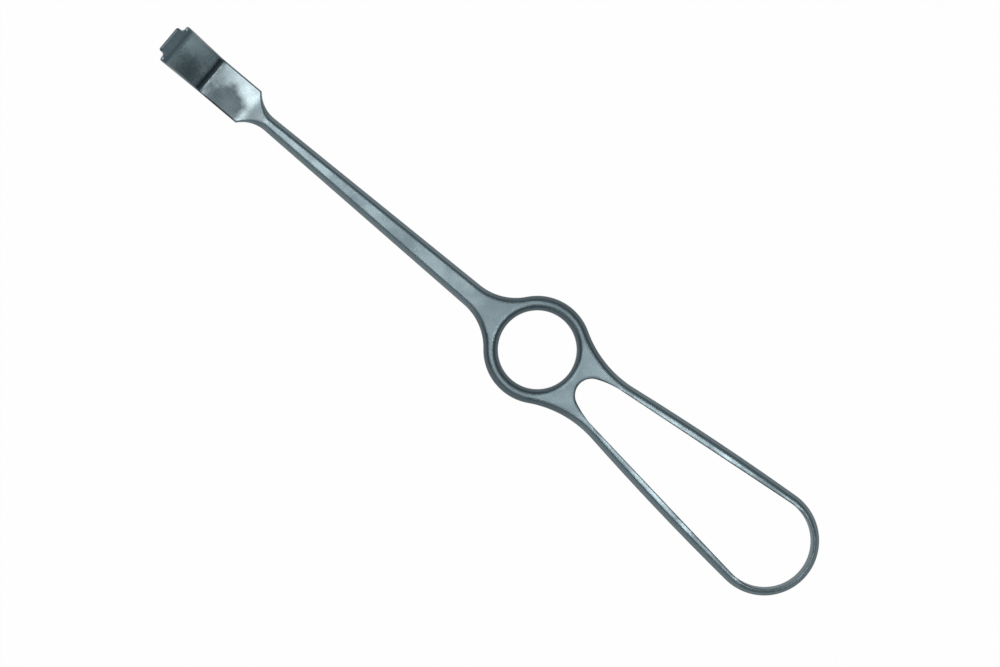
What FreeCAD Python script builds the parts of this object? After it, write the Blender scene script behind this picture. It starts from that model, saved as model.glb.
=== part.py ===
import FreeCAD, Part
import math
import os
import Sketcher

# Hand retractor: a right-angled blade on a slim shaft, with a finger ring and a teardrop
# grip loop behind it. The real one is a single steel forging, so its four zones meet
# face to face and nothing moves.
# Origin: centre of the finger ring, halfway through the handle's thickness.
# +X runs along the handle to the blade, +Z is the way the blade stands.

Vector = FreeCAD.Vector
doc = FreeCAD.newDocument("hand_retractor")

# Driving dimensions, in millimetres and degrees
driving = {
    # flat handle
    "handle_thickness": 4.0,
    "edge_round": 1.6,         # all round the outside, and in the finger hole
    "loop_chamfer": 0.3,       # inside the grip loop
    # finger ring
    "finger_hole_radius": 10.4,
    "ring_wall": 3.85,         # round the finger hole, and between it and the loop's nose
    # shaft
    "neck_position": 92.6,     # from the ring's centre to the shaft's narrow end
    "neck_width": 4.1,
    "shaft_taper": 1.05,       # each side opens by this angle towards the ring
    "shaft_fillet": 15.0,      # concave run from the shaft into the ring
    "shaft_seam": 24.0,        # where the shaft's zone meets the ring's
    # grip loop
    "waist_position": 21.8,    # from the ring's centre to the waist
    "loop_seam": 26.0,         # where the loop's zone meets the ring's
    "waist_fillet": 29.3,      # concave run from the ring into the arms
    "arm_bow": 770.0,          # the arms' outer sides bulge a little
    "loop_reach": 92.6,        # from the ring's centre to the end of the loop
    "loop_flare": 0.25,        # the loop's end radius past the ring's
    "loop_end_width": 1.7,
    "loop_end_rim": 2.3,       # between the outer and the inner radius of the loop's end
    "nose_radius": 4.4,
    "nose_shoulder": 0.97,     # how far the arms' straight inner sides pass the nose's circle
    "nose_blend": 25.0,        # from the nose into those sides
    # blade
    "blade_width": 10.75,
    "blade_thickness": 1.6,
    "blade_edge_round": 0.45,
    "shoulder_radius": 9.0,    # concave run from the shaft out to the blade's width
    "root_length": 11.9,       # flat plate between the shoulders and the bend
    "bend_radius": 1.2,        # inside the bend
    "blade_lean": 7.0,         # past square, away from the handle
    "blade_length": 25.0,
    "lip_radius": 0.6,         # inside the lip's bend
    "lip_angle": 55.0,
    "lip_length": 2.3,         # flat lip past its bend
    "lip_width": 7.2,
    "lip_shelf": 0.6,          # how far the plate's full width goes on past the bend
    "lip_root_round": 0.8,     # concave, where the lip leaves the plate
    "lip_corner": 0.6,
    "end_chamfer": 0.3,        # round the plate's end and the lip
}

sheet = doc.addObject("Spreadsheet::Sheet", "sizes")
for row, (alias, value) in enumerate(driving.items(), start=1):
    sheet.set("A%d" % row, alias.replace("_", " "))
    sheet.set("B%d" % row, str(value))
    sheet.setAlias("B%d" % row, alias)
doc.recompute()


def size(alias):
    return float(sheet.get(alias))


# Sketch helpers: a piece of outline is its number in the sketch and its two ends

axis = -1
origin = (-1, 1)
tiny = 1e-6


def plane(body, role):
    return [feature for feature in body.Origin.OriginFeatures if feature.Role == role][0]


def new_sketch(body, name, role):
    sketch = body.newObject("Sketcher::SketchObject", name)
    sketch.AttachmentSupport = [(plane(body, role), "")]
    sketch.MapMode = "FlatFace"
    return sketch


def add_line(sketch, start, end):
    number = sketch.addGeometry(Part.LineSegment(start, end), False)
    return {"number": number, "start": 1, "end": 2}


def add_arc(sketch, centre, start, end, clockwise=False):
    first, last = (end, start) if clockwise else (start, end)
    angle_first = math.atan2(first.y - centre.y, first.x - centre.x)
    angle_last = math.atan2(last.y - centre.y, last.x - centre.x)
    if angle_last < angle_first:
        angle_last += 2 * math.pi
    circle = Part.Circle(centre, Vector(0, 0, 1), (start - centre).Length)
    number = sketch.addGeometry(Part.ArcOfCircle(circle, angle_first, angle_last), False)
    return {"number": number, "start": 2 if clockwise else 1, "end": 1 if clockwise else 2,
            "middle": 3}


def add_circle(sketch, centre, radius):
    circle = Part.Circle(centre, Vector(0, 0, 1), radius)
    return {"number": sketch.addGeometry(circle, False), "middle": 3}


def join(sketch, one, other, kind="Tangent"):
    sketch.addConstraint(Sketcher.Constraint(
        kind, one["number"], one["end"], other["number"], other["start"]))


def fix(sketch, kind, *geometry):
    sketch.addConstraint(Sketcher.Constraint(kind, *geometry))


def on_axis(sketch, piece, point):
    fix(sketch, "PointOnObject", piece["number"], point, axis)


def bind(sketch, kind, geometry, value, expression):
    number = sketch.addConstraint(Sketcher.Constraint(kind, *geometry, value))
    sketch.setExpression("Constraints[%d]" % number, expression)


def bind_radius(sketch, arc, value, expression):
    bind(sketch, "Radius", (arc["number"],), value, expression)


def bind_length(sketch, line, value, expression):
    bind(sketch, "Distance", (line["number"],), value, expression)


def end_of(piece, name):
    return piece["number"], piece[name]


def middle_of(arc):
    return arc["number"], arc["middle"]


def towards(start, end, length):
    return start + (end - start).normalize() * length


def circles_meet(centre_a, radius_a, centre_b, radius_b, side):
    # the crossing to the left of the way from a to b for side 1, to its right for side -1
    along = centre_b - centre_a
    distance = along.Length
    along = along / distance
    reach = (radius_a ** 2 - radius_b ** 2 + distance ** 2) / (2 * distance)
    height = math.sqrt(radius_a ** 2 - reach ** 2)
    return centre_a + along * reach + Vector(-along.y, along.x, 0) * side * height


# Edges to round

def soften(body, kind, name, edges, expression):
    base = body.Tip
    names = ["Edge%d" % number for number, edge in enumerate(base.Shape.Edges, 1)
             if any(edge.isSame(other) for other in edges)]
    feature = body.newObject("PartDesign::" + kind, name)
    feature.Base = (base, names)
    feature.setExpression("Radius" if kind == "Fillet" else "Size", expression)
    doc.recompute()


def rims(body, outside):
    # edges round the flat faces, either their outlines or their holes
    edges = []
    for face in body.Tip.Shape.Faces:
        if face.BoundBox.ZLength < tiny:
            for wire in face.Wires:
                if wire.isSame(face.OuterWire) == outside:
                    edges += wire.Edges
    return edges


# Flat handle: half of it is drawn above the long axis, padded and mirrored

handle = doc.addObject("PartDesign::Body", "handle")
ring_centre = Vector(0, 0, 0)
hole_radius = size("finger_hole_radius")
ring_radius = hole_radius + size("ring_wall")
ring_text = "(sizes.finger_hole_radius + sizes.ring_wall)"

# shaft edge, and the concave run into the ring
neck_foot = Vector(size("neck_position"), 0, 0)
neck_corner = neck_foot + Vector(0, size("neck_width") / 2, 0)
taper = math.radians(size("shaft_taper"))
edge_way = Vector(-math.cos(taper), math.sin(taper), 0)
edge_normal = Vector(math.sin(taper), math.cos(taper), 0)
fillet_radius = size("shaft_fillet")
raised_corner = neck_corner + edge_normal * fillet_radius
nearest = raised_corner - edge_way * raised_corner.dot(edge_way)
back = math.sqrt((ring_radius + fillet_radius) ** 2 - nearest.Length ** 2)
fillet_centre = nearest - edge_way * back
fillet_start = fillet_centre - edge_normal * fillet_radius
fillet_end = towards(ring_centre, fillet_centre, ring_radius)

# waist behind the ring
waist_radius = size("waist_fillet")
waist_x = size("waist_position")
waist_centre = Vector(-waist_x, math.sqrt((ring_radius + waist_radius) ** 2 - waist_x ** 2), 0)
waist_start = towards(ring_centre, waist_centre, ring_radius)

# outside of the loop
end_radius = ring_radius + size("loop_flare")
end_foot = Vector(-size("loop_reach"), 0, 0)
end_centre = end_foot + Vector(end_radius, 0, 0)
bow = size("arm_bow")
arm_centre = circles_meet(waist_centre, bow + waist_radius, end_centre, bow - end_radius, 1)
arm_start = towards(waist_centre, arm_centre, waist_radius)
arm_end = towards(arm_centre, end_centre, bow)

# inside of the loop, from its end back to the nose beside the ring
inner_end_radius = end_radius - size("loop_end_rim")
inner_end_foot = end_foot + Vector(size("loop_end_width"), 0, 0)
inner_end_centre = inner_end_foot + Vector(inner_end_radius, 0, 0)
nose_radius = size("nose_radius")
nose_tip = Vector(-ring_radius, 0, 0)
nose_centre = nose_tip - Vector(nose_radius, 0, 0)
side_clearance = nose_radius + size("nose_shoulder")
side_angle = math.asin(
    (inner_end_radius - side_clearance) / (nose_centre.x - inner_end_centre.x))
side_normal = Vector(math.sin(side_angle), math.cos(side_angle), 0)
side_way = Vector(-side_normal.y, side_normal.x, 0)
blend_radius = size("nose_blend")
blend_run = math.sqrt((blend_radius - nose_radius) ** 2 - (blend_radius - side_clearance) ** 2)
side_start = inner_end_centre + side_normal * inner_end_radius
side_end = nose_centre + side_normal * side_clearance + side_way * blend_run
blend_centre = side_end - side_normal * blend_radius
blend_end = towards(blend_centre, nose_centre, blend_radius)

half = new_sketch(handle, "handle_half", "XY_Plane")
neck_line = add_line(half, neck_foot, neck_corner)
shaft_edge = add_line(half, neck_corner, fillet_start)
fillet_arc = add_arc(half, fillet_centre, fillet_start, fillet_end, clockwise=True)
ring_arc = add_arc(half, ring_centre, fillet_end, waist_start)
waist_arc = add_arc(half, waist_centre, waist_start, arm_start, clockwise=True)
arm_arc = add_arc(half, arm_centre, arm_start, arm_end)
end_arc = add_arc(half, end_centre, arm_end, end_foot)
end_line = add_line(half, end_foot, inner_end_foot)
inner_end_arc = add_arc(half, inner_end_centre, inner_end_foot, side_start, clockwise=True)
side_line = add_line(half, side_start, side_end)
blend_arc = add_arc(half, blend_centre, side_end, blend_end, clockwise=True)
nose_arc = add_arc(half, nose_centre, blend_end, nose_tip, clockwise=True)
axis_line = add_line(half, nose_tip, neck_foot)

for smooth_run in ([shaft_edge, fillet_arc, ring_arc, waist_arc, arm_arc, end_arc],
                   [inner_end_arc, side_line, blend_arc, nose_arc]):
    for one, other in zip(smooth_run, smooth_run[1:]):
        join(half, one, other)
for one, other in ((neck_line, shaft_edge), (end_arc, end_line), (end_line, inner_end_arc),
                   (nose_arc, axis_line), (axis_line, neck_line)):
    join(half, one, other, "Coincident")
fix(half, "Vertical", neck_line["number"])
fix(half, "Coincident", *middle_of(ring_arc), *origin)
for line in (axis_line, end_line):
    on_axis(half, line, line["start"])
    on_axis(half, line, line["end"])
for arc in (end_arc, inner_end_arc, nose_arc):
    on_axis(half, arc, arc["middle"])

bind_radius(half, fillet_arc, fillet_radius, "sizes.shaft_fillet")
bind_radius(half, ring_arc, ring_radius, ring_text)
bind_radius(half, waist_arc, waist_radius, "sizes.waist_fillet")
bind_radius(half, arm_arc, bow, "sizes.arm_bow")
bind_radius(half, end_arc, end_radius, ring_text + " + sizes.loop_flare")
bind_radius(half, inner_end_arc, inner_end_radius,
            ring_text + " + sizes.loop_flare - sizes.loop_end_rim")
bind_radius(half, blend_arc, blend_radius, "sizes.nose_blend")
bind_radius(half, nose_arc, nose_radius, "sizes.nose_radius")
bind_length(half, neck_line, neck_corner.y, "sizes.neck_width / 2")
bind_length(half, end_line, size("loop_end_width"), "sizes.loop_end_width")
bind(half, "Angle", (shaft_edge["number"],), math.pi - taper, "180 - sizes.shaft_taper")
bind(half, "DistanceX", origin + end_of(neck_line, "start"), neck_foot.x, "sizes.neck_position")
bind(half, "DistanceX", middle_of(waist_arc) + origin, waist_x, "sizes.waist_position")
bind(half, "DistanceX", end_of(end_line, "start") + origin, -end_foot.x, "sizes.loop_reach")
bind(half, "DistanceX", end_of(axis_line, "start") + origin, -nose_tip.x, ring_text)
bind(half, "Distance", middle_of(nose_arc) + (side_line["number"],), side_clearance,
     "sizes.nose_radius + sizes.nose_shoulder")

slab = handle.newObject("PartDesign::Pad", "handle_slab")
slab.Profile = half
slab.SideType = "Symmetric"
slab.setExpression("Length", "sizes.handle_thickness")
both_sides = handle.newObject("PartDesign::Mirrored", "handle_both_sides")
both_sides.Originals = [slab]
both_sides.MirrorPlane = (plane(handle, "XZ_Plane"), [""])
handle.Tip = both_sides
doc.recompute()

hole_sketch = new_sketch(handle, "finger_hole_circle", "XY_Plane")
hole_circle = add_circle(hole_sketch, ring_centre, hole_radius)
fix(hole_sketch, "Coincident", *middle_of(hole_circle), *origin)
bind_radius(hole_sketch, hole_circle, hole_radius, "sizes.finger_hole_radius")
finger_hole = handle.newObject("PartDesign::Pocket", "finger_hole")
finger_hole.Profile = hole_sketch
finger_hole.Type = "ThroughAll"
finger_hole.SideType = "Symmetric"
doc.recompute()


def beside_ring(edge):
    return edge.BoundBox.XMin > nose_tip.x + tiny


def at_neck(edge):
    return edge.BoundBox.XMin > neck_foot.x - tiny


soften(handle, "Fillet", "outside_round",
       [edge for edge in rims(handle, True) if not at_neck(edge)], "sizes.edge_round")
soften(handle, "Fillet", "finger_hole_round",
       [edge for edge in rims(handle, False) if beside_ring(edge)], "sizes.edge_round")
soften(handle, "Chamfer", "loop_chamfer",
       [edge for edge in rims(handle, False) if not beside_ring(edge)], "sizes.loop_chamfer")


# The handle's zones: each is what of it lies between two planes across the long axis

def add_zone(name, start, length):
    box = doc.addObject("Part::Box", name + "_zone")
    box.setExpression("Placement.Base.x", start)
    box.setExpression("Placement.Base.y", "-2 * " + ring_text)
    box.setExpression("Placement.Base.z", "-sizes.handle_thickness")
    box.setExpression("Length", length)
    box.setExpression("Width", "4 * " + ring_text)
    box.setExpression("Height", "2 * sizes.handle_thickness")
    zone = doc.addObject("Part::Common", name)
    zone.Base = handle
    zone.Tool = box
    zone.Label = name
    return zone


shaft = add_zone("shaft", "sizes.shaft_seam", "sizes.neck_position - sizes.shaft_seam")
finger_ring = add_zone("finger_ring", "-sizes.loop_seam", "sizes.loop_seam + sizes.shaft_seam")
grip_loop = add_zone("grip_loop", "-2 * sizes.loop_reach",
                     "2 * sizes.loop_reach - sizes.loop_seam")

# Blade: a neck that spreads from the shaft's section to the plate's, then the bent plate

blade = doc.addObject("PartDesign::Body", "retractor_blade")
blade.Label = "retractor_blade"


def rounded_section(name, position, width, height, round_radius):
    # a rounded rectangle across the handle; each size is a value and its expression
    sketch = new_sketch(blade, name, "YZ_Plane")
    sketch.setExpression("AttachmentOffset.Base.z", position[1])
    radius = round_radius[0]
    inset_x = width[0] / 2 - radius
    inset_y = height[0] / 2 - radius
    arcs = []
    for quarter, (x, y) in enumerate(((1, 1), (-1, 1), (-1, -1), (1, -1))):
        centre = Vector(x * inset_x, y * inset_y, 0)
        beside = centre + Vector(x * radius, 0, 0)
        above = centre + Vector(0, y * radius, 0)
        start, end = (beside, above) if quarter % 2 == 0 else (above, beside)
        arcs.append((add_arc(sketch, centre, start, end), start, end))
    lines = [add_line(sketch, arcs[quarter][2], arcs[(quarter + 1) % 4][1])
             for quarter in range(4)]
    arcs = [arc for arc, _, _ in arcs]
    for quarter in range(4):
        join(sketch, arcs[quarter], lines[quarter])
        join(sketch, lines[quarter], arcs[(quarter + 1) % 4])
        fix(sketch, "Vertical" if quarter % 2 else "Horizontal", lines[quarter]["number"])
    for arc in arcs[1:]:
        fix(sketch, "Equal", arcs[0]["number"], arc["number"])
    fix(sketch, "Symmetric", *middle_of(arcs[0]), *middle_of(arcs[2]), *origin)
    bind_radius(sketch, arcs[0], radius, round_radius[1])
    top, left, bottom, right = lines
    bind(sketch, "DistanceX", end_of(left, "start") + end_of(right, "start"), *width)
    bind(sketch, "DistanceY", end_of(bottom, "start") + end_of(top, "start"), *height)
    return sketch


# neck: sections at even steps round the concave shoulder, thinning towards the plate
shoulder = size("shoulder_radius")
spread = (size("blade_width") - size("neck_width")) / 2
shoulder_angle = math.acos(1 - spread / shoulder)
shoulder_text = "acos(1 - (sizes.blade_width - sizes.neck_width) / 2 / sizes.shoulder_radius)"
neck_steps = 6


def between(share, first, last):
    value = size(first) + (size(last) - size(first)) * share
    return value, "sizes.{0} + (sizes.{1} - sizes.{0}) * {2:.5f}".format(first, last, share)


def neck_section(step):
    share = step / neck_steps
    angle = shoulder_angle * share
    angle_text = "%s * %.5f" % (shoulder_text, share)
    thinning = math.sin(share * math.pi / 2) ** 2
    return rounded_section(
        "neck_section_%d" % step,
        (neck_foot.x + shoulder * math.sin(angle),
         "sizes.neck_position + sizes.shoulder_radius * sin(%s)" % angle_text),
        (size("neck_width") + 2 * shoulder * (1 - math.cos(angle)),
         "sizes.neck_width + 2 * sizes.shoulder_radius * (1 - cos(%s))" % angle_text),
        between(thinning, "handle_thickness", "blade_thickness"),
        between(thinning, "edge_round", "blade_edge_round"))


neck_sections = [neck_section(step) for step in range(neck_steps + 1)]
neck = blade.newObject("PartDesign::AdditiveLoft", "neck")
neck.Profile = neck_sections[0]
neck.Sections = neck_sections[1:]

# path of the plate's middle: flat root, bend, standing blade, and the lip that curls
# away from the handle
plate_half = size("blade_thickness") / 2
bend_middle = size("bend_radius") + plate_half
lip_middle = size("lip_radius") + plate_half
lean = math.radians(size("blade_lean"))
lip_lean = lean + math.radians(size("lip_angle"))


def rising(angle):
    return Vector(math.sin(angle), math.cos(angle), 0)


def facing(angle):
    return Vector(math.cos(angle), -math.sin(angle), 0)


root_start = neck_foot + Vector(shoulder * math.sin(shoulder_angle), 0, 0)
root_end = root_start + Vector(size("root_length"), 0, 0)
bend_centre = root_end + Vector(0, bend_middle, 0)
bend_end = bend_centre + facing(lean) * bend_middle
blade_end = bend_end + rising(lean) * size("blade_length")
lip_centre = blade_end + facing(lean) * lip_middle
lip_start = lip_centre - facing(lip_lean) * lip_middle
lip_end = lip_start + rising(lip_lean) * size("lip_length")

path = new_sketch(blade, "plate_path", "XZ_Plane")
root_line = add_line(path, root_start, root_end)
bend_arc = add_arc(path, bend_centre, root_end, bend_end)
blade_line = add_line(path, bend_end, blade_end)
lip_arc = add_arc(path, lip_centre, blade_end, lip_start, clockwise=True)
lip_line = add_line(path, lip_start, lip_end)
steps = [root_line, bend_arc, blade_line, lip_arc, lip_line]
for one, other in zip(steps, steps[1:]):
    join(path, one, other)
fix(path, "Horizontal", root_line["number"])
on_axis(path, root_line, root_line["start"])
bind(path, "DistanceX", origin + end_of(root_line, "start"), root_start.x,
     "sizes.neck_position + sizes.shoulder_radius * sin(%s)" % shoulder_text)
bind_length(path, root_line, size("root_length"), "sizes.root_length")
bind_length(path, blade_line, size("blade_length"), "sizes.blade_length")
bind_length(path, lip_line, size("lip_length"), "sizes.lip_length")
bind_radius(path, bend_arc, bend_middle, "sizes.bend_radius + sizes.blade_thickness / 2")
bind_radius(path, lip_arc, lip_middle, "sizes.lip_radius + sizes.blade_thickness / 2")
bind(path, "Angle", (blade_line["number"],), math.pi / 2 - lean, "90 - sizes.blade_lean")
bind(path, "Angle", (lip_line["number"],), math.pi / 2 - lip_lean,
     "90 - sizes.blade_lean - sizes.lip_angle")

plate = blade.newObject("PartDesign::AdditivePipe", "plate")
plate.Profile = neck_sections[-1]
plate.Spine = (path, ["Edge%d" % (number + 1) for number in range(len(steps))])
doc.recompute()
plate_volume = plate.Shape.Volume

# past the lip's bend the plate ends in a shelf, and only a narrower lip goes on; this is
# drawn on the lip's middle plane, with the lip pointing up
lip_half = size("lip_width") / 2
shelf = size("lip_shelf")
root_round = size("lip_root_round")
lip_corner = size("lip_corner")
lip_top = size("lip_length")
clear_side = size("blade_width") / 2 + size("blade_thickness")
clear_top = lip_top + size("blade_thickness")
bend_text = "(sizes.bend_radius + sizes.blade_thickness / 2)"
curl_text = "(sizes.lip_radius + sizes.blade_thickness / 2)"
lip_lean_text = "(sizes.blade_lean + sizes.lip_angle)"

sides = new_sketch(blade, "lip_sides", "YZ_Plane")
sides.AttachmentOffset = FreeCAD.Placement(
    Vector(0, lip_start.y, lip_start.x), FreeCAD.Rotation(Vector(1, 0, 0), math.degrees(lip_lean)))
sides.setExpression("AttachmentOffset.Rotation.Angle", lip_lean_text)
sides.setExpression(
    "AttachmentOffset.Base.y",
    bend_text + " * (1 - sin(sizes.blade_lean)) + sizes.blade_length * cos(sizes.blade_lean) + "
    + curl_text + " * (sin" + lip_lean_text + " - sin(sizes.blade_lean))")
sides.setExpression(
    "AttachmentOffset.Base.z",
    "sizes.neck_position + sizes.shoulder_radius * sin(" + shoulder_text + ") + sizes.root_length"
    " + " + bend_text + " * cos(sizes.blade_lean) + sizes.blade_length * sin(sizes.blade_lean) + "
    + curl_text + " * (cos(sizes.blade_lean) - cos" + lip_lean_text + ")")


def turned(side, x, y):
    return Vector(side * x, y, 0)


for side in (1, -1):
    over_lip = turned(side, lip_half - lip_corner, clear_top)
    lip_tip = turned(side, lip_half - lip_corner, lip_top)
    lip_shoulder = turned(side, lip_half, lip_top - lip_corner)
    root_top = turned(side, lip_half, shelf + root_round)
    root_foot = turned(side, lip_half + root_round, shelf)
    outer_foot = turned(side, clear_side, shelf)
    outer_top = turned(side, clear_side, clear_top)
    past_tip = add_line(sides, over_lip, lip_tip)
    tip_arc = add_arc(sides, turned(side, lip_tip.x * side, lip_shoulder.y), lip_tip,
                      lip_shoulder, side > 0)
    lip_side = add_line(sides, lip_shoulder, root_top)
    root_arc = add_arc(sides, turned(side, root_foot.x * side, root_top.y), root_top, root_foot,
                       side < 0)
    ledge = add_line(sides, root_foot, outer_foot)
    outer_side = add_line(sides, outer_foot, outer_top)
    over_top = add_line(sides, outer_top, over_lip)
    for one, other, kind in ((past_tip, tip_arc, "Coincident"), (tip_arc, lip_side, "Tangent"),
                             (lip_side, root_arc, "Tangent"), (root_arc, ledge, "Tangent"),
                             (ledge, outer_side, "Coincident"),
                             (outer_side, over_top, "Coincident"),
                             (over_top, past_tip, "Coincident")):
        join(sides, one, other, kind)
    for line in (past_tip, lip_side, outer_side):
        fix(sides, "Vertical", line["number"])
    for line in (ledge, over_top):
        fix(sides, "Horizontal", line["number"])
    fix(sides, "Vertical", *middle_of(tip_arc), *end_of(tip_arc, "start"))
    lip_place = (origin, end_of(lip_side, "start"))[::side]
    outer_place = (origin, end_of(ledge, "end"))[::side]
    bind(sides, "DistanceX", lip_place[0] + lip_place[1], lip_half, "sizes.lip_width / 2")
    bind(sides, "DistanceX", outer_place[0] + outer_place[1], clear_side,
         "sizes.blade_width / 2 + sizes.blade_thickness")
    bind(sides, "DistanceY", origin + end_of(ledge, "start"), shelf, "sizes.lip_shelf")
    bind(sides, "DistanceY", origin + end_of(tip_arc, "start"), lip_top, "sizes.lip_length")
    bind_radius(sides, root_arc, root_round, "sizes.lip_root_round")
    bind_radius(sides, tip_arc, lip_corner, "sizes.lip_corner")
    bind_length(sides, past_tip, clear_top - lip_top, "sizes.blade_thickness")

lip_cut = blade.newObject("PartDesign::Pocket", "lip_cut")
lip_cut.Profile = sides
lip_cut.Type = "ThroughAll"
lip_cut.SideType = "Symmetric"
doc.recompute()

# the chamfer runs on from the highest edge round the whole end
highest = max(lip_cut.Shape.Edges, key=lambda edge: edge.BoundBox.ZMin)
soften(blade, "Chamfer", "end_chamfer", [highest], "sizes.end_chamfer")

# Tests, then one file for each piece
slab_sides = (both_sides.Shape.Volume, finger_hole.Shape.Volume)
if slab_sides[1] >= slab_sides[0] or lip_cut.Shape.Volume >= plate_volume:
    raise RuntimeError("a cut missed the solid")
for item in doc.Objects:
    if "Invalid" in item.State or "Error" in item.State:
        raise RuntimeError("%s did not build: %s" % (item.Name, item.State))
os.makedirs("parts", exist_ok=True)
for piece in (blade, shaft, finger_ring, grip_loop):
    shape = piece.Shape
    if shape.isNull() or not shape.isValid() or len(shape.Solids) != 1:
        raise RuntimeError("%s has no valid single solid" % piece.Label)
    shape.exportStep("parts/%s.step" % piece.Label)
    print("%-16s %7.1f mm3" % (piece.Label, shape.Volume))
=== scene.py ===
import math

import bmesh
import bpy
from mathutils import Matrix, Vector


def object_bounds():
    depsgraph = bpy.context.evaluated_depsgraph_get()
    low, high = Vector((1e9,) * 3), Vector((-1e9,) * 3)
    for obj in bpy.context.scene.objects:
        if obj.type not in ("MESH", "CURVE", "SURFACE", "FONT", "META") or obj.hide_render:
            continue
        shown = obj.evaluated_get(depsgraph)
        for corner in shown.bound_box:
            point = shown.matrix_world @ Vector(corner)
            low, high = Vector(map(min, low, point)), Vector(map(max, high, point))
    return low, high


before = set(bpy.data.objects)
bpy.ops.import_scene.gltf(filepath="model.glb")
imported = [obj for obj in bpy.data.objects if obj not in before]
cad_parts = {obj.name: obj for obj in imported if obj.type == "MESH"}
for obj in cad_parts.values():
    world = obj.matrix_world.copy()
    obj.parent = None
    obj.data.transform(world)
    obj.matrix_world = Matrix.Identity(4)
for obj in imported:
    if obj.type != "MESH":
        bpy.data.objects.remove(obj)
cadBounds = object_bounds()
scene = bpy.context.scene
mm = 0.001

# camera: straight above the handle, which slopes across the picture

camera = {
    "lookAt": (10.3, 3.05, 0.0),     # mm, the point in the middle of the picture
    "distance": 415.0,               # mm above that point
    "pictureWidth": 263.9,           # mm across the picture at the handle
    "handleAngle": 40.06,            # degrees, how the handle slopes across the picture
    "sensorWidth": 36.0,
    "clip": (0.01, 10.0),            # m, the nearest and farthest that it sees
}


def makeCamera():
    data = bpy.data.cameras.new("camera")
    data.sensor_width = camera["sensorWidth"]
    data.lens = camera["sensorWidth"] * camera["distance"] / camera["pictureWidth"]
    data.clip_start, data.clip_end = camera["clip"]
    obj = bpy.data.objects.new("camera", data)
    scene.collection.objects.link(obj)
    slope = math.radians(camera["handleAngle"])
    right = Vector((-math.cos(slope), -math.sin(slope), 0))
    up = Vector((math.sin(slope), -math.cos(slope), 0))
    back = right.cross(up)
    turn = Matrix((right, up, back)).transposed().to_4x4()
    place = Vector(camera["lookAt"]) * mm + back * camera["distance"] * mm
    obj.matrix_world = Matrix.Translation(place) @ turn
    scene.camera = obj


makeCamera()
print("camera set")

# nodes: each of these adds to a node tree, and most return the new node's output

mixSockets = {"FLOAT": (2, 3, 0), "VECTOR": (4, 5, 1), "RGBA": (6, 7, 2)}   # two inputs, output


def feed(tree, socket, value):
    # a socket takes a plain value or another node's output
    if isinstance(value, bpy.types.NodeSocket):
        tree.links.new(value, socket)
    else:
        socket.default_value = value


def maths(tree, operation, *values):
    node = tree.nodes.new("ShaderNodeMath")
    node.operation = operation
    for socket, value in zip(node.inputs, values):
        feed(tree, socket, value)
    return node.outputs["Value"]


def vectorMaths(tree, operation, first, second=None):
    # the second value of a SCALE is a number, and a LENGTH or a DOT_PRODUCT gives one
    node = tree.nodes.new("ShaderNodeVectorMath")
    node.operation = operation
    feed(tree, node.inputs[0], first)
    if second is not None:
        feed(tree, node.inputs["Scale" if operation == "SCALE" else 1], second)
    return node.outputs["Value" if operation in ("LENGTH", "DOT_PRODUCT") else "Vector"]


def mix(tree, kind, share, first, second):
    node = tree.nodes.new("ShaderNodeMix")
    node.data_type = kind
    firstInput, secondInput, output = mixSockets[kind]
    feed(tree, node.inputs["Factor"], share)
    feed(tree, node.inputs[firstInput], first)
    feed(tree, node.inputs[secondInput], second)
    return node.outputs[output]


def band(tree, value, limits, start=0.0, end=1.0):
    # a smooth change from start to end while the value goes from one limit to the other
    remap = tree.nodes.new("ShaderNodeMapRange")
    remap.interpolation_type = "SMOOTHSTEP"
    for label, number in zip(("From Min", "From Max", "To Min", "To Max"), (*limits, start, end)):
        remap.inputs[label].default_value = number
    tree.links.new(value, remap.inputs["Value"])
    return remap.outputs["Result"]


def noise(tree, place, scale, detail):
    # the scale is the grains for each metre along x, y and z
    texture = tree.nodes.new("ShaderNodeTexNoise")
    texture.inputs["Scale"].default_value = 1.0
    texture.inputs["Detail"].default_value = detail
    tree.links.new(vectorMaths(tree, "MULTIPLY", place, scale), texture.inputs["Vector"])
    return texture.outputs["Fac"]


def separate(tree, vector):
    node = tree.nodes.new("ShaderNodeSeparateXYZ")
    tree.links.new(vector, node.inputs["Vector"])
    return node.outputs


def turned(tree, normal, target):
    node = tree.nodes.new("ShaderNodeVectorTransform")
    node.vector_type = "NORMAL"
    node.convert_from = "WORLD" if target == "OBJECT" else "OBJECT"
    node.convert_to = target
    tree.links.new(normal, node.inputs["Vector"])
    return node.outputs["Vector"]


# studio: a pale floor and long softboxes that run along the handle

studio = {
    "floorSize": 6.0,                # m
    "floorColour": (0.80, 0.81, 0.82, 1),
    "floorWhite": (0.985, 0.16),     # share that shows as plain white to the camera and in steel
    "roomColour": (0.095, 0.122, 0.132, 1),
    "roomWhite": (1.0, 0.05),
    "white": (1, 1, 1, 1),
}
lamps = {
    # place above the handle in m (x to the blade, y to the picture's lower left), size, watts
    "overheadStrip": {"place": (0.19, 0.0, 1.0), "size": (0.42, 0.22), "power": 0.18},
    "leftStrip": {"place": (0.19, 0.20, 1.0), "size": (0.42, 0.12), "power": 0.19},
    "rightStrip": {"place": (0.19, -0.20, 1.0), "size": (0.42, 0.12), "power": 0.19},
    "bladeSoftbox": {"place": (0.68, -0.06, 0.95), "size": (0.85, 0.60), "power": 1.92},
    "loopSoftbox": {"place": (-0.235, 0.0, 1.0), "size": (0.17, 0.34), "power": 0.56},
    "sideFill": {"place": (0.0, 1.10, 0.42), "size": (1.20, 0.50), "power": 0.50},
}
lampColour = (0.92, 0.975, 1.0)


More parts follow.
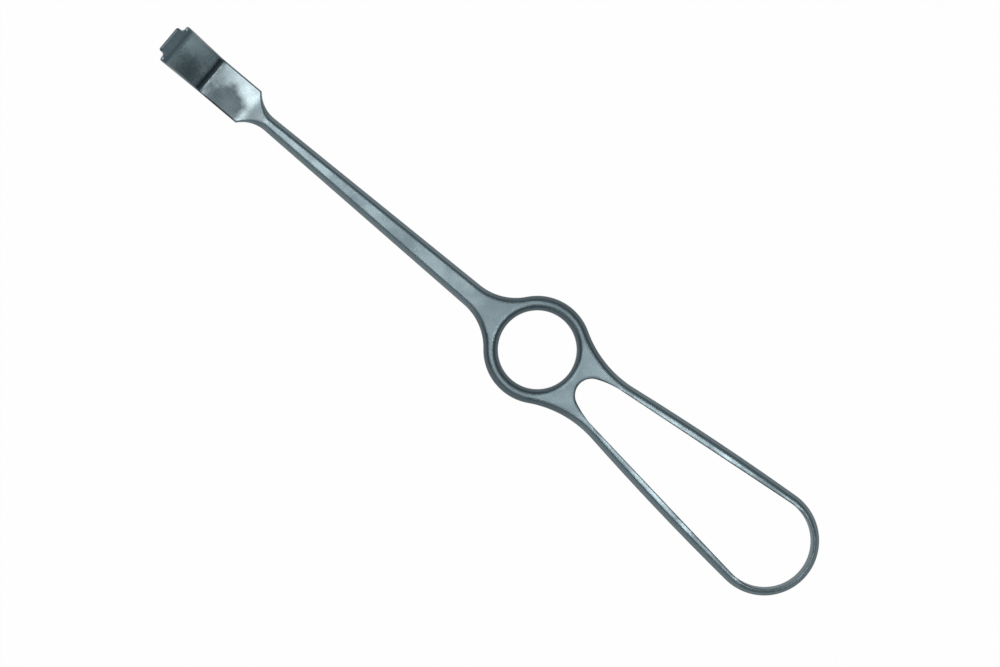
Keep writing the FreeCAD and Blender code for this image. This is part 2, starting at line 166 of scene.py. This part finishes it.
def makeLamp(name, lamp):
    data = bpy.data.lights.new(name, "AREA")
    data.shape = "RECTANGLE"
    data.size, data.size_y = lamp["size"]
    data.energy = lamp["power"]
    data.color = lampColour
    obj = bpy.data.objects.new(name, data)
    scene.collection.objects.link(obj)
    place = Vector(lamp["place"])
    away = place.normalized()
    along = Vector((0, 1, 0)).cross(away).normalized()
    turn = Matrix((along, away.cross(along), away)).transposed().to_4x4()
    obj.matrix_world = Matrix.Translation(place) @ turn


def showWhite(tree, surface, plain, white, shares):
    # camera rays find plain white, and rays that steel or glass sends on find some of it
    path = tree.nodes.new("ShaderNodeLightPath").outputs
    forCamera, inSteel = shares
    seen = maths(tree, "MULTIPLY", path["Is Camera Ray"], forCamera)
    sentOn = maths(tree, "MAXIMUM", path["Is Glossy Ray"], path["Is Transmission Ray"])
    white.inputs["Color"].default_value = studio["white"]
    shown = tree.nodes.new("ShaderNodeMixShader")
    tree.links.new(maths(tree, "MULTIPLY_ADD", sentOn, inSteel, seen), shown.inputs["Fac"])
    tree.links.new(plain.outputs[0], shown.inputs[1])
    tree.links.new(white.outputs[0], shown.inputs[2])
    tree.links.new(shown.outputs["Shader"], surface.inputs["Surface"])


def makeWorld():
    world = bpy.data.worlds.new("studio")
    scene.world = world
    world.use_nodes = True
    tree = world.node_tree
    tree.nodes.clear()
    room = tree.nodes.new("ShaderNodeBackground")
    room.inputs["Color"].default_value = studio["roomColour"]
    showWhite(tree, tree.nodes.new("ShaderNodeOutputWorld"), room,
              tree.nodes.new("ShaderNodeBackground"), studio["roomWhite"])


def makeFloor():
    mesh = bpy.data.meshes.new("floor")
    form = bmesh.new()
    bmesh.ops.create_grid(form, x_segments=1, y_segments=1, size=studio["floorSize"] / 2)
    bmesh.ops.translate(form, vec=(0, 0, cadBounds[0][2]), verts=form.verts)
    form.to_mesh(mesh)
    form.free()
    floor = bpy.data.objects.new("floor", mesh)
    scene.collection.objects.link(floor)
    material = bpy.data.materials.new("paleFloor")
    material.use_nodes = True
    tree = material.node_tree
    tree.nodes.clear()
    plain = tree.nodes.new("ShaderNodeBsdfDiffuse")
    plain.inputs["Color"].default_value = studio["floorColour"]
    showWhite(tree, tree.nodes.new("ShaderNodeOutputMaterial"), plain,
              tree.nodes.new("ShaderNodeEmission"), studio["floorWhite"])
    mesh.materials.append(material)


for name, lamp in lamps.items():
    makeLamp(name, lamp)
makeWorld()
makeFloor()
print("studio lit")

# satin steel: fine brushing, cloudy patches, hairline scratches and polished round edges, with
# painted shade on the round edges

grain = {
    "seams": (92.6, 24.0, -26.0),    # mm, where the zones of the bar meet
    "seamReach": 1.3,                # mm
    "edgeSamples": 6,
    "sharpShare": 0.97,              # how much of its tilt a sharp edge loses
    "edgeTilt": (0.10, 0.34),        # from flat to a whole edge
    "edgeFade": 0.75,                # how much of the brushing an edge loses
    "lineDetail": 3.0,
    "lineRoughness": 0.16,
    # grains for each metre along x, y and z, their detail, and their share in the clouding
    "clouds": ((190.0, 190.0, 190.0), 4.0, 0.50),
    "drift": ((34.0, 34.0, 34.0), 2.0, 0.30),
    "speckle": ((2600.0, 2600.0, 2600.0), 2.0, 0.20),
    "clouding": (0.38, 0.62),        # from bright to dull
    "dullRoughness": 0.08,
    "scratches": ((46.0, 2300.0, 900.0), 1.0),
    "scratching": (0.70, 0.74),      # from whole to scratched
    "scratchRoughness": 0.08,        # how much smoother a scratch is
    "scratchDepth": 0.6,
}
groupInputs = (
    ("Colour", "NodeSocketColor", (0.5, 0.5, 0.5, 1)),
    ("Dull Colour", "NodeSocketColor", (0.4, 0.4, 0.4, 1)),
    # painted shade: the colour that the round edges take, darker than the flats
    ("Edge Shade Colour", "NodeSocketColor", (0.3, 0.3, 0.3, 1)),
    ("Cloudiness", "NodeSocketFloat", 0.5),
    ("Line Scale", "NodeSocketVector", (260.0, 5200.0, 5200.0)),    # grains for each metre
    ("Edge Tilts", "NodeSocketVector", (1.0, 1.0, 0.0)),     # the ways in which an edge tilts
    ("Edge Softness", "NodeSocketFloat", 0.0005),            # m
    ("Edge Gain", "NodeSocketFloat", 1.0),
    ("Sharp Way", "NodeSocketVector", (0.0, 0.0, 0.0)),      # edges that face this way are sharp
    ("Flat Roughness", "NodeSocketFloat", 0.26),
    ("Edge Roughness", "NodeSocketFloat", 0.16),
    ("Brushing", "NodeSocketFloat", 0.5),
    ("Scratches", "NodeSocketFloat", 0.3),
)
groupOutputs = (
    ("Colour", "NodeSocketColor"),
    ("Roughness", "NodeSocketFloat"),
    ("Height", "NodeSocketFloat"),
    ("Normal", "NodeSocketVector"),
)


def softenedNormal(tree, given, texture):
    # polishing by hand runs the round edges out softly into the flats
    softened = tree.nodes.new("ShaderNodeBevel")
    softened.samples = grain["edgeSamples"]
    tree.links.new(given["Edge Softness"], softened.inputs["Radius"])
    soft = turned(tree, softened.outputs["Normal"], "OBJECT")

    # the zones' end faces meet at the seams and aren't edges, so nothing softens along x there
    along = separate(tree, texture["Object"])["X"]
    atSeam = 0.0
    for seam in grain["seams"]:
        near = maths(tree, "COMPARE", along, seam * mm, grain["seamReach"] * mm)
        atSeam = maths(tree, "ADD", near, atSeam)
    ahead = separate(tree, texture["Normal"])["X"]
    left = maths(tree, "SUBTRACT", 1.0, maths(tree, "MULTIPLY", ahead, ahead))
    across = vectorMaths(tree, "MULTIPLY", soft, (0.0, 1.0, 1.0))
    across = vectorMaths(tree, "NORMALIZE", across)
    across = vectorMaths(tree, "SCALE", across, maths(tree, "SQRT", left))
    forward = vectorMaths(tree, "MULTIPLY", texture["Normal"], (1.0, 0.0, 0.0))
    facing = mix(tree, "VECTOR", atSeam, soft, vectorMaths(tree, "ADD", across, forward))

    # a sharp edge keeps the direction of its flat
    tipped = vectorMaths(tree, "DOT_PRODUCT", facing, given["Sharp Way"])
    tipped = maths(tree, "MULTIPLY", maths(tree, "MAXIMUM", tipped, 0.0), grain["sharpShare"])
    taken = vectorMaths(tree, "SCALE", given["Sharp Way"], tipped)
    facing = vectorMaths(tree, "SUBTRACT", facing, taken)

    # the gain rounds the edges more fully than the bar's own corners
    gain = maths(tree, "SUBTRACT", given["Edge Gain"], 1.0)
    gain = vectorMaths(tree, "SCALE", given["Edge Tilts"], gain)
    gain = vectorMaths(tree, "ADD", gain, (1.0, 1.0, 1.0))
    return vectorMaths(tree, "NORMALIZE", vectorMaths(tree, "MULTIPLY", facing, gain))


def makeSteelGroup():
    group = bpy.data.node_groups.new("brushedSteel", "ShaderNodeTree")
    for label, kind, value in groupInputs:
        socket = group.interface.new_socket(label, in_out="INPUT", socket_type=kind)
        socket.default_value = value
    for label, kind in groupOutputs:
        group.interface.new_socket(label, in_out="OUTPUT", socket_type=kind)
    given = group.nodes.new("NodeGroupInput").outputs
    result = group.nodes.new("NodeGroupOutput").inputs
    texture = group.nodes.new("ShaderNodeTexCoord").outputs
    place = texture["Object"]

    facing = softenedNormal(group, given, texture)
    group.links.new(turned(group, facing, "WORLD"), result["Normal"])
    tilt = vectorMaths(group, "MULTIPLY", facing, given["Edge Tilts"])
    edge = band(group, vectorMaths(group, "LENGTH", tilt), grain["edgeTilt"])

    # cloudy patches of duller satin, broken up by a fine speckle
    clouding = 0.0
    for name in ("clouds", "drift", "speckle"):
        scale, detail, share = grain[name]
        part = maths(group, "MULTIPLY", noise(group, place, scale, detail), share)
        clouding = maths(group, "ADD", clouding, part)
    clouding = band(group, clouding, grain["clouding"])
    dull = maths(group, "MULTIPLY", clouding, given["Cloudiness"])
    tint = mix(group, "RGBA", dull, given["Colour"], given["Dull Colour"])
    # painted shade: the round edges are darkened by their tilt
    tint = mix(group, "RGBA", edge, tint, given["Edge Shade Colour"])
    group.links.new(tint, result["Colour"])

    # the brushing and the scratches change the roughness, and the clouds do too
    brushed = noise(group, place, given["Line Scale"], grain["lineDetail"])
    scratched = band(group, noise(group, place, *grain["scratches"]), grain["scratching"])
    scratched = maths(group, "MULTIPLY", scratched, given["Scratches"])
    level = mix(group, "FLOAT", edge, given["Flat Roughness"], given["Edge Roughness"])
    rough = maths(group, "SUBTRACT", brushed, 0.5)
    rough = maths(group, "ADD", maths(group, "MULTIPLY", rough, grain["lineRoughness"]), level)
    rougher = maths(group, "MULTIPLY", dull, grain["dullRoughness"])
    smoother = maths(group, "MULTIPLY", scratched, grain["scratchRoughness"])
    rough = maths(group, "SUBTRACT", maths(group, "ADD", rough, rougher), smoother)
    group.links.new(rough, result["Roughness"])

    # both are cut into the surface too, and fade away on the edges
    lined = maths(group, "MULTIPLY", brushed, given["Brushing"])
    cut = maths(group, "MULTIPLY", scratched, grain["scratchDepth"])
    kept = maths(group, "SUBTRACT", 1.0, maths(group, "MULTIPLY", edge, grain["edgeFade"]))
    height = maths(group, "MULTIPLY", maths(group, "SUBTRACT", lined, cut), kept)
    group.links.new(height, result["Height"])
    return group


def steelMaterial(name, look):
    material = bpy.data.materials.new(name)
    material.use_nodes = True
    tree = material.node_tree
    shader = tree.nodes["Principled BSDF"]
    shader.inputs["Metallic"].default_value = 1.0
    steel = tree.nodes.new("ShaderNodeGroup")
    steel.node_tree = steelGroup
    for label, value in look["surface"].items():
        steel.inputs[label].default_value = value
    bump = tree.nodes.new("ShaderNodeBump")
    bump.inputs["Strength"].default_value = look["bump"]
    bump.inputs["Distance"].default_value = look["depth"] * mm
    tree.links.new(steel.outputs["Height"], bump.inputs["Height"])
    tree.links.new(steel.outputs["Normal"], bump.inputs["Normal"])
    tree.links.new(bump.outputs["Normal"], shader.inputs["Normal"])
    tree.links.new(steel.outputs["Colour"], shader.inputs["Base Color"])
    tree.links.new(steel.outputs["Roughness"], shader.inputs["Roughness"])
    return material, steel, shader


def inMetres(look, *names):
    return {name: tuple(size * mm for size in look[name]) for name in names}


steelGroup = makeSteelGroup()

# finger ring, shaft and grip loop: flats brushed along the handle between round polished edges
# that carry painted shade

handleLook = {
    "surface": {
        "Dull Colour": (0.30, 0.365, 0.39, 1),
        "Cloudiness": 1.0,
        "Line Scale": (260.0, 5200.0, 5200.0),
        "Edge Tilts": (1.0, 1.0, 0.0),
        "Edge Gain": 1.8,
        "Flat Roughness": 0.25,
        "Edge Roughness": 0.18,
        "Brushing": 0.7,
        "Scratches": 0.5,
    },
    "bump": 0.25,
    "depth": 0.006,                  # mm
    "ringReach": (14.5, 25.0),       # mm from the finger hole's middle, where the ring ends
    "edgeSoftness": (1.2, 0.7),      # mm at the ring and beyond it
    "colours": {                     # at the ring and beyond it; the ring's darker colours are painted shade
        "Colour": ((0.40, 0.48, 0.505, 1), (0.50, 0.59, 0.62, 1)),
        "Edge Shade Colour": ((0.25, 0.31, 0.335, 1), (0.38, 0.46, 0.49, 1)),
    },
    "loopMiddle": (-24.0, -78.5),    # mm, the ends of the line along the loop's middle
    "sharpNose": (-15.0, -12.0),     # mm, where the loop's sharp inner edges end at its nose
    "sharpEnd": (-88.0, -78.0),      # mm, and at its round end
}


def makeHandleSteel():
    material, steel, shader = steelMaterial("handleSteel", handleLook)
    tree = material.node_tree
    look = inMetres(handleLook, "ringReach", "edgeSoftness", "loopMiddle", "sharpNose", "sharpEnd")
    place = tree.nodes.new("ShaderNodeTexCoord").outputs["Object"]

    # round the ring the edges are softened wider, and the colours there are darker as painted
    # shade
    fromRing = vectorMaths(tree, "MULTIPLY", place, (1.0, 1.0, 0.0))
    fromRing = vectorMaths(tree, "LENGTH", fromRing)
    softness = band(tree, fromRing, look["ringReach"], *look["edgeSoftness"])
    tree.links.new(softness, steel.inputs["Edge Softness"])
    beyond = band(tree, fromRing, look["ringReach"])
    for label, colours in handleLook["colours"].items():
        tree.links.new(mix(tree, "RGBA", beyond, *colours), steel.inputs[label])

    # the loop's inner edges are only broken, and face the line along its middle
    axis = separate(tree, place)
    head, tail = look["loopMiddle"]
    nearest = maths(tree, "MAXIMUM", maths(tree, "MINIMUM", axis["X"], head), tail)
    inward = tree.nodes.new("ShaderNodeCombineXYZ")
    feed(tree, inward.inputs["X"], maths(tree, "SUBTRACT", nearest, axis["X"]))
    feed(tree, inward.inputs["Y"], maths(tree, "SUBTRACT", 0.0, axis["Y"]))
    inward = vectorMaths(tree, "NORMALIZE", inward.outputs["Vector"])
    sharp = maths(tree, "MULTIPLY", band(tree, axis["X"], look["sharpNose"], 1.0, 0.0),
                  band(tree, axis["X"], look["sharpEnd"]))
    tree.links.new(vectorMaths(tree, "SCALE", inward, sharp), steel.inputs["Sharp Way"])
    return material


handleSteel = makeHandleSteel()

# blade: plate painted lighter than the handle's steel as a painted highlight, with a painted
# reflection at its root and painted shade in the bend and on the lip

bladeLook = {
    "surface": {
        # painted highlight: the plate's colour and dull colour are lighter than the handle's steel
        "Colour": (0.76, 0.85, 0.87, 1),
        "Dull Colour": (0.52, 0.59, 0.61, 1),
        "Edge Shade Colour": (0.38, 0.46, 0.49, 1),
        "Cloudiness": 0.9,
        "Line Scale": (260.0, 5200.0, 260.0),       # follows the plate round its bend
        "Edge Tilts": (0.0, 1.0, 0.0),
        "Edge Gain": 1.8,
        "Flat Roughness": 0.24,
        "Edge Roughness": 0.20,
        "Brushing": 0.7,
        "Scratches": 0.5,
    },
    "bump": 0.25,
    "depth": 0.006,                  # mm
    "neck": (93.5, 98.5),            # mm, where the neck passes into the plate
    "edgeSoftness": (0.7, 0.10),     # mm on the neck and on the plate
    "slope": (92.6, 95.0),           # mm, where the neck's slope sets in
    "neckRoughness": 0.55,
    "mottle": ((420.0, 420.0, 420.0), 4.0),         # grains for each metre, and their detail
    # a painted reflection of the standing plate, darkening the root plate
    "patchMiddle": (105.1, 2.9, 0.0),               # mm
    "patchReach": (8.0, 7.0, 1000.0),               # mm along x, y and z
    "patchRagged": 0.6,
    "patchRim": (0.75, 1.20),                       # shares of its reach
    "patchStrength": 0.88,
    "paintedReflectionColour": (0.055, 0.073, 0.082, 1),
    "standStart": (112.2, 113.2),                   # mm
    "standWander": 2.0,                             # mm
    # painted shade on the standing plate
    "standShadeColour": (0.40, 0.47, 0.49, 1),
    "bendShade": (4.0, 20.0),        # mm above the middle of the handle, darkest and gone
    "bendStrength": 0.9,
    "bendShadeColour": (0.17, 0.21, 0.23, 1),
    "lipStart": (25.5, 27.0),        # mm above the middle of the handle
    "lipShadeColour": (0.36, 0.45, 0.48, 1),
    "lipWay": (0.883, 0.0, 0.469),
    "tipDepth": 0.45,                # mm back from the lip's end
}


def makeBladeSteel():
    material, steel, shader = steelMaterial("bladeSteel", bladeLook)
    tree = material.node_tree
    look = inMetres(bladeLook, "neck", "edgeSoftness", "slope", "patchMiddle", "patchReach",
                    "standStart", "bendShade", "lipStart")
    place = tree.nodes.new("ShaderNodeTexCoord").outputs["Object"]
    axis = separate(tree, place)
    plate = band(tree, axis["X"], look["neck"])
    softness = mix(tree, "FLOAT", plate, *look["edgeSoftness"])
    tree.links.new(softness, steel.inputs["Edge Softness"])

    # the neck's slope is left rougher, and the shaft's colour runs out into it
    begins = band(tree, axis["X"], look["slope"])
    slope = maths(tree, "MULTIPLY", begins, maths(tree, "SUBTRACT", 1.0, plate))
    roughness = mix(tree, "FLOAT", slope, steel.outputs["Roughness"], bladeLook["neckRoughness"])
    tree.links.new(roughness, shader.inputs["Roughness"])
    shaftColour = handleLook["colours"]["Colour"][1]
    for label, before in (("Colour", shaftColour),
                          ("Dull Colour", handleLook["surface"]["Dull Colour"])):
        colour = mix(tree, "RGBA", begins, before, bladeLook["surface"][label])
        tree.links.new(colour, steel.inputs[label])

    # painted reflection of the standing plate in the root plate, with a ragged rim
    mottle = noise(tree, place, *bladeLook["mottle"])
    away = vectorMaths(tree, "SUBTRACT", place, look["patchMiddle"])
    away = vectorMaths(tree, "LENGTH", vectorMaths(tree, "DIVIDE", away, look["patchReach"]))
    ragged = maths(tree, "MULTIPLY", mottle, bladeLook["patchRagged"])
    ragged = maths(tree, "ADD", away, ragged)
    paintedReflection = band(tree, ragged, bladeLook["patchRim"], bladeLook["patchStrength"], 0.0)
    colour = mix(tree, "RGBA", paintedReflection, steel.outputs["Colour"], bladeLook["paintedReflectionColour"])

    # painted shade: the standing plate is darker, darkest in the bend, and its lip is dark again
    uneven = maths(tree, "MULTIPLY", mottle, bladeLook["standWander"] * mm)
    stands = band(tree, maths(tree, "ADD", axis["X"], uneven), look["standStart"])
    colour = mix(tree, "RGBA", stands, colour, bladeLook["standShadeColour"])
    # painted shade in the bend, fading upwards
    shade = band(tree, axis["Z"], look["bendShade"], bladeLook["bendStrength"], 0.0)
    shade = maths(tree, "MULTIPLY", stands, shade)
    colour = mix(tree, "RGBA", shade, colour, bladeLook["bendShadeColour"])
    # painted shade on the lip
    lip = band(tree, axis["Z"], look["lipStart"])
    colour = mix(tree, "RGBA", lip, colour, bladeLook["lipShadeColour"])
    # painted shade: the lip's end takes the bend's shade colour
    lipWay = Vector(bladeLook["lipWay"])
    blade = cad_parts["retractor_blade"].data
    lipEnd = max(vertex.co.dot(lipWay) for vertex in blade.vertices)
    out = vectorMaths(tree, "DOT_PRODUCT", place, bladeLook["lipWay"])
    tip = maths(tree, "GREATER_THAN", out, lipEnd - bladeLook["tipDepth"] * mm)
    colour = mix(tree, "RGBA", tip, colour, bladeLook["bendShadeColour"])
    tree.links.new(colour, shader.inputs["Base Color"])
    return material


bladeSteel = makeBladeSteel()
for name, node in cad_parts.items():
    node.material_slots[0].material = bladeSteel if name == "retractor_blade" else handleSteel
print("steel applied")

scene.view_settings.view_transform = "Standard"
